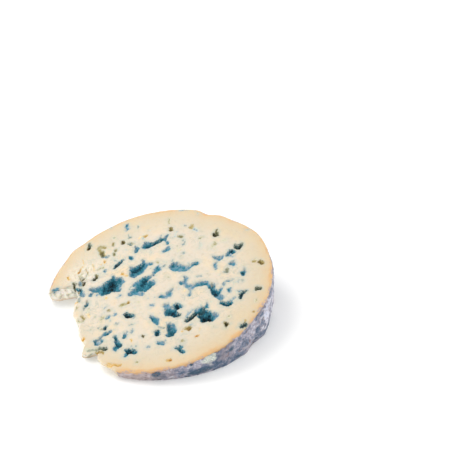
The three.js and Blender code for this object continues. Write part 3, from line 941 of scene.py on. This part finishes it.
    # Moist paste has a soft gloss, and powdery mould none.
    rough = add("mix", cover, (0.46, 0.46, 0.46, 1), (0.92, 0.92, 0.92, 1))
    finish_material(
        add,
        {
            "Base Color": colour,
            "Roughness": rough,
            "IOR": 1.42,
            "Subsurface Weight": 0.22,
            "Subsurface Radius": (1.0, 0.62, 0.34),
            "Subsurface Scale": 2.2 * MM,
        },
        [(curd, 0.35), (grain, 0.16), (add("times", fuzz, cover), 0.3)],
    )
    return material


def rind_material():
    """Natural rind, dried paste under a living felt of grey mould: dusty, lavender-grey
    and mottled, with slate-blue patches, a white bloom and small russet specks."""
    colours = bpy.context.scene.cheese_colours
    material, add = new_material("dried_natural_rind")
    place = add("place")
    x = add("along x", place)
    # The patches lie along the drum's side, squashed from above.
    place = add("scaled", place, (1.0, 1.0, 1.4))
    patch = add("noise", place, across(8.5), 2, 0.5, 0.7)
    mottle = add("noise", place, across(3.8), 3, 0.55, 0.3)
    grain = add("noise", place, across(1.0), 3, 0.6)
    # The felt's threads are finer than a hair, and are drawn this coarse to show.
    felt = add("noise", place, across(0.6), 2, 0.6)
    specks = add("noise", place, across(2.0), 2, 0.5)
    bloom_and_lit_patches, spot, scuff, below = (
        add("attribute", attribute_name=name) for name in ("bloom", "spot", "scuff", "rim")
    )
    # Bloom pales the felt; at -67 and -50 degrees round the drum it is partly painted light.
    bloom = add("plus", bloom_and_lit_patches, add("ease", mottle, 0.3, 0.7, -0.45, 0.45))
    bloom = add("ease", bloom, 0.1, 1.0)

    patches = add("ease", patch, 0.34, 0.66, 0.04, 0.48)
    tone = add("plus", patches, add("ease", mottle, 0.34, 0.66, -0.02, 0.4))
    tone = add("plus", tone, add("ease", grain, 0.3, 0.7, -0.1, 0.2))
    tone = add("plus", tone, add("times", bloom, 0.4))
    colour = add("ramp", tone, stops={
        0.1: "#435a73",
        0.28: colours.rind_slate,
        0.5: colours.rind_grey,
        0.72: colours.rind_lilac,
        1.0: colours.rind_bloom,
    })
    # Older, browner felt and brighter bloom in broad patches; the bright bloom is partly a painted
    # highlight, on the side that the right fill lights.
    brown = add("ease", add("noise", place, across(15), 3, 0.55), 0.5, 0.66, 0.0, 0.5)
    colour = add("mix", brown, colour, "#84787c")
    bright_bloom_and_highlight = add("plus", bloom_and_lit_patches, add("ease", mottle, 0.3, 0.7, -0.5, 0.5))
    colour = add("mix", add("ease", bright_bloom_and_highlight, 0.5, 1.8, 0.0, 0.7), colour, "#d3d9ec")
    # The thin side's rind is young and flushed with pink.
    colour = add("mix", add("ease", x, -36 * MM, -54 * MM, 0.0, 0.65), colour, "#c2aca3")
    field = add("plus", spot, add("ease", mottle, 0.3, 0.7, -0.35, 0.35))
    field = add("plus", field, add("ease", grain, 0.3, 0.7, -0.1, 0.1))
    colour = add("mix", add("ease", field, 0.15, 0.9, 0.0, 0.9), colour, colours.rind_spot)
    # Fluffs of young white mould stand on the felt.
    fluff = add("times", add("ease", felt, 0.5, 0.7), add("ease", patch, 0.42, 0.58, 0.04, 0.24))
    colour = add("mix", fluff, colour, colours.rind_bloom)
    russet = add("times", add("ease", specks, 0.58, 0.66), add("ease", patch, 0.42, 0.56))
    colour = add("mix", add("times", russet, 0.65), colour, colours.rind_russet)
    # The scuff lays bare pale paste under a torn felt.
    bare = add("plus", scuff, add("ease", mottle, 0.3, 0.7, -0.3, 0.3))
    paste = add("mix", add("ease", grain, 0.42, 0.62), "#e6e7dc", "#b7c3bb")
    colour = add("mix", add("ease", bare, 0.2, 0.8), colour, paste)
    # Just under the face the cut edge of the rind shows golden paste.
    lip = add("plus", below, add("ease", mottle, 0.3, 0.7, -0.7, 0.7))
    colour = add("mix", add("ease", lip, 1.3, 0.1, 0.0, 0.8), colour, colours.rim_edge)
    finish_material(
        add,
        {
            "Base Color": colour,
            "Roughness": 0.9,
            "IOR": 1.4,
            "Sheen Weight": 0.12,
            "Sheen Roughness": 0.6,
            "Subsurface Weight": 0.06,
            "Subsurface Radius": (1.0, 0.7, 0.5),
            "Subsurface Scale": 1.0 * MM,
        },
        [(patch, 0.8), (mottle, 0.8), (grain, 0.28), (felt, 0.12)],
    )
    return material


class CheeseSizes(bpy.types.PropertyGroup):
    """Sizes that a user would change."""

    pocket_depth: bpy.props.FloatProperty(
        name="Pocket depth",
        description="Depth of the mould pockets as a share of their own depth",
        default=1.0,
        min=0.0,
        max=1.5,
        subtype="FACTOR",
    )


class CheeseColours(bpy.types.PropertyGroup):
    """Colours as sRGB hex values, one property to each."""

    __annotations__ = {
        name: bpy.props.StringProperty(
            name=name.replace("_", " ").capitalize(), description=description, default=default
        )
        for name, description, default in (
            ("paste", "Cut paste", "#dacdb9"),
            ("paste_warm", "Paste where it is richest", "#e2ceae"),
            ("paste_grey", "Paste where it is greyest", "#d5cbb9"),
            ("rim_band", "Paste under the rind", "#d8b98a"),
            ("rim_edge", "Dried paste right at the rind", "#dba869"),
            ("pale_mould", "Thin blue mould", "#7497ab"),
            ("blue_mould", "Full blue mould", "#3b8a9c"),
            ("deep_mould", "Dense blue mould", "#1d5f73"),
            ("olive_mould", "Olive mould", "#a39660"),
            ("ochre_mould", "Ochre mould", "#cf9a48"),
            ("rind_grey", "Body of the rind", "#8b8c9c"),
            ("rind_lilac", "Lighter felt", "#a9a4b2"),
            ("rind_slate", "Darker felt", "#647289"),
            ("rind_bloom", "White bloom", "#d3d2db"),
            ("rind_spot", "Dark patches", "#224a62"),
            ("rind_russet", "Small specks", "#8a6a64"),
        )
    }


class StageSettings(bpy.types.PropertyGroup):
    """The camera's place, and the floor's colour."""

    azimuth: bpy.props.FloatProperty(
        name="Azimuth",
        description="Turn of the view from +Y",
        default=np.radians(-46.3),
        subtype="ANGLE",
    )
    elevation: bpy.props.FloatProperty(
        name="Elevation",
        description="Height of the view over the floor",
        default=np.radians(31.72),
        subtype="ANGLE",
    )
    distance: bpy.props.FloatProperty(
        name="Distance", description="Camera to its target", default=0.65, unit="LENGTH"
    )
    lens: bpy.props.FloatProperty(
        name="Lens", description="Focal length in millimetres", default=77.37
    )
    floor: bpy.props.StringProperty(name="Floor", description="Floor colour", default="#fbfbfa")


def slice_surface(pocket_depth):
    """The whole slice: face, side wall and base, stitched into one closed surface."""
    line, foot, is_broken = outlines(4 * TOP_CELLS)
    ragged = 0.1 + raised(flat3(line), EDGE_CRUMBS, SEED + 49, 3)
    line = line + inward(line) * np.maximum(FACE_SPREAD + ragged * is_broken, 0)[:, None]
    stains = stray_pockets(STAIN_POCKETS, SEED + 1, STAIN_REACH, True)
    rows = chains(placed_pockets(POCKETS) + stains)
    rows[:, DEPTH_COLUMN] *= pocket_depth
    base_rows = chains(stray_pockets(BASE_POCKETS, SEED + 2, BASE_REACH, False))
    surface = Surface()
    top_ring = cut_face(surface, line, is_broken, TOP_HUB, TOP_CELLS, SEED, rows, True)
    foot_ring = side_wall(surface, top_ring, foot, is_broken, rows, SEED + 60)
    base_line = foot + inward(foot) * BASE_INSET
    base_ring = cut_face(
        surface, base_line, is_broken, BASE_HUB, TOP_CELLS // 2, SEED + 3, base_rows, False
    )
    close_base(surface, foot_ring, base_ring)
    return surface


class CHEESE_OT_slice(bpy.types.Operator):
    """Build the slice of cheese in place of its plain solid"""

    bl_idname = "cheese.slice"
    bl_label = "Cheese slice"

    def execute(self, context):
        surface = slice_surface(context.scene.cheese_sizes.pocket_depth)
        points = np.clip(np.vstack(surface.points) * MM, LOWEST, HIGHEST)
        faces = [face for block in surface.faces for face in block.tolist()]
        mesh = bpy.data.meshes.new("cheese_slice")
        mesh.from_pydata(points.tolist(), [], faces)
        values = {name: np.concatenate(parts) for name, parts in surface.values.items()}
        for name, value in values.items():
            attribute = mesh.attributes.new(name, "FLOAT", "POINT")
            attribute.data.foreach_set("value", value.astype(np.float32))
        mesh.polygons.foreach_set("use_smooth", np.ones(len(faces), dtype=bool))
        mesh.materials.append(paste_material())
        mesh.materials.append(rind_material())
        # The second material goes where all of a face's corners are on the rind.
        is_rind = values["rind"] > 0.5
        slots = np.concatenate([is_rind[block].all(axis=1) for block in surface.faces])
        mesh.polygons.foreach_set("material_index", slots.astype(np.int32))
        mesh.update()
        if mesh.validate():
            raise RuntimeError("the slice's mesh has broken faces")
        piece = bpy.data.objects.new("cheese_slice", mesh)
        context.scene.collection.objects.link(piece)
        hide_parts(NODE)
        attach(piece, "root")
        return {"FINISHED"}


def put(thing, target, azimuth, elevation, distance):
    """Stands a lamp or camera at a distance from its target, looking at it. Azimuth 0
    looks along +Y."""
    back = np.array([
        np.sin(azimuth) * np.cos(elevation),
        -np.cos(azimuth) * np.cos(elevation),
        np.sin(elevation),
    ])
    thing.location = target + back * distance
    thing.rotation_euler = (np.pi / 2 - elevation, 0, azimuth)


class CHEESE_OT_stage(bpy.types.Operator):
    """Set up the floor, the soft studio light and the camera"""

    bl_idname = "cheese.stage"
    bl_label = "Stage"

    def execute(self, context):
        scene = context.scene
        settings = scene.cheese_stage
        scene.view_settings.view_transform = "Standard"
        mesh = bpy.data.meshes.new("floor")
        corners = [(FLOOR_HALF_SIZE * x, FLOOR_HALF_SIZE * y, 0) for x, y in CORNERS]
        mesh.from_pydata(corners, [], [(0, 1, 2, 3)])
        floor = bpy.data.objects.new("floor", mesh)
        scene.collection.objects.link(floor)
        material, add = new_material("matt_paper_floor")
        add("output", add("shader", named={"Base Color": settings.floor, "Roughness": 0.9}))
        mesh.materials.append(material)

        world = bpy.data.worlds.new("studio")
        world.use_nodes = True
        background = world.node_tree.nodes["Background"]
        background.inputs["Color"].default_value = (1, 1, 1, 1)
        background.inputs["Strength"].default_value = SKY_STRENGTH
        scene.world = world

        middle = np.mean(CAD_BOX, axis=0)
        for name, turn, height, distance, width, watts in LIGHTS:
            lamp = bpy.data.lights.new(name, "AREA")
            lamp.size = width
            lamp.energy = watts
            light = bpy.data.objects.new(name, lamp)
            scene.collection.objects.link(light)
            put(light, middle, settings.azimuth + np.radians(turn), np.radians(height), distance)

        lens = bpy.data.cameras.new("camera")
        lens.lens = settings.lens
        lens.sensor_width = SENSOR_WIDTH
        lens.clip_start = NEAREST_IN_VIEW
        camera = bpy.data.objects.new("camera", lens)
        scene.collection.objects.link(camera)
        put(camera, VIEW_TARGET, settings.azimuth, settings.elevation, settings.distance)
        scene.camera = camera
        return {"FINISHED"}


class CHEESE_PT_panel(bpy.types.Panel):
    """Lists the operators and settings"""

    bl_idname = "CHEESE_PT_panel"
    bl_label = "Blue cheese slice"
    bl_space_type = "VIEW_3D"
    bl_region_type = "UI"
    bl_category = "Cheese"

    def draw(self, context):
        for group_name in GROUPS:
            group = getattr(context.scene, group_name)
            for name in group.bl_rna.properties.keys():
                if name not in ("rna_type", "name"):
                    self.layout.prop(group, name)
        for operator in (CHEESE_OT_slice, CHEESE_OT_stage):
            self.layout.operator(operator.bl_idname)


GROUPS = {
    "cheese_sizes": CheeseSizes,
    "cheese_colours": CheeseColours,
    "cheese_stage": StageSettings,
}
CLASSES = (*GROUPS.values(), CHEESE_OT_slice, CHEESE_OT_stage, CHEESE_PT_panel)


def register():
    for item in CLASSES:
        bpy.utils.register_class(item)
    for name, group in GROUPS.items():
        setattr(bpy.types.Scene, name, bpy.props.PointerProperty(type=group))


def unregister():
    for name in GROUPS:
        delattr(bpy.types.Scene, name)
    for item in reversed(CLASSES):
        bpy.utils.unregister_class(item)


def main():
    register()
    bpy.ops.cheese.slice()
    bpy.ops.cheese.stage()


if __name__ == "__main__":
    main()
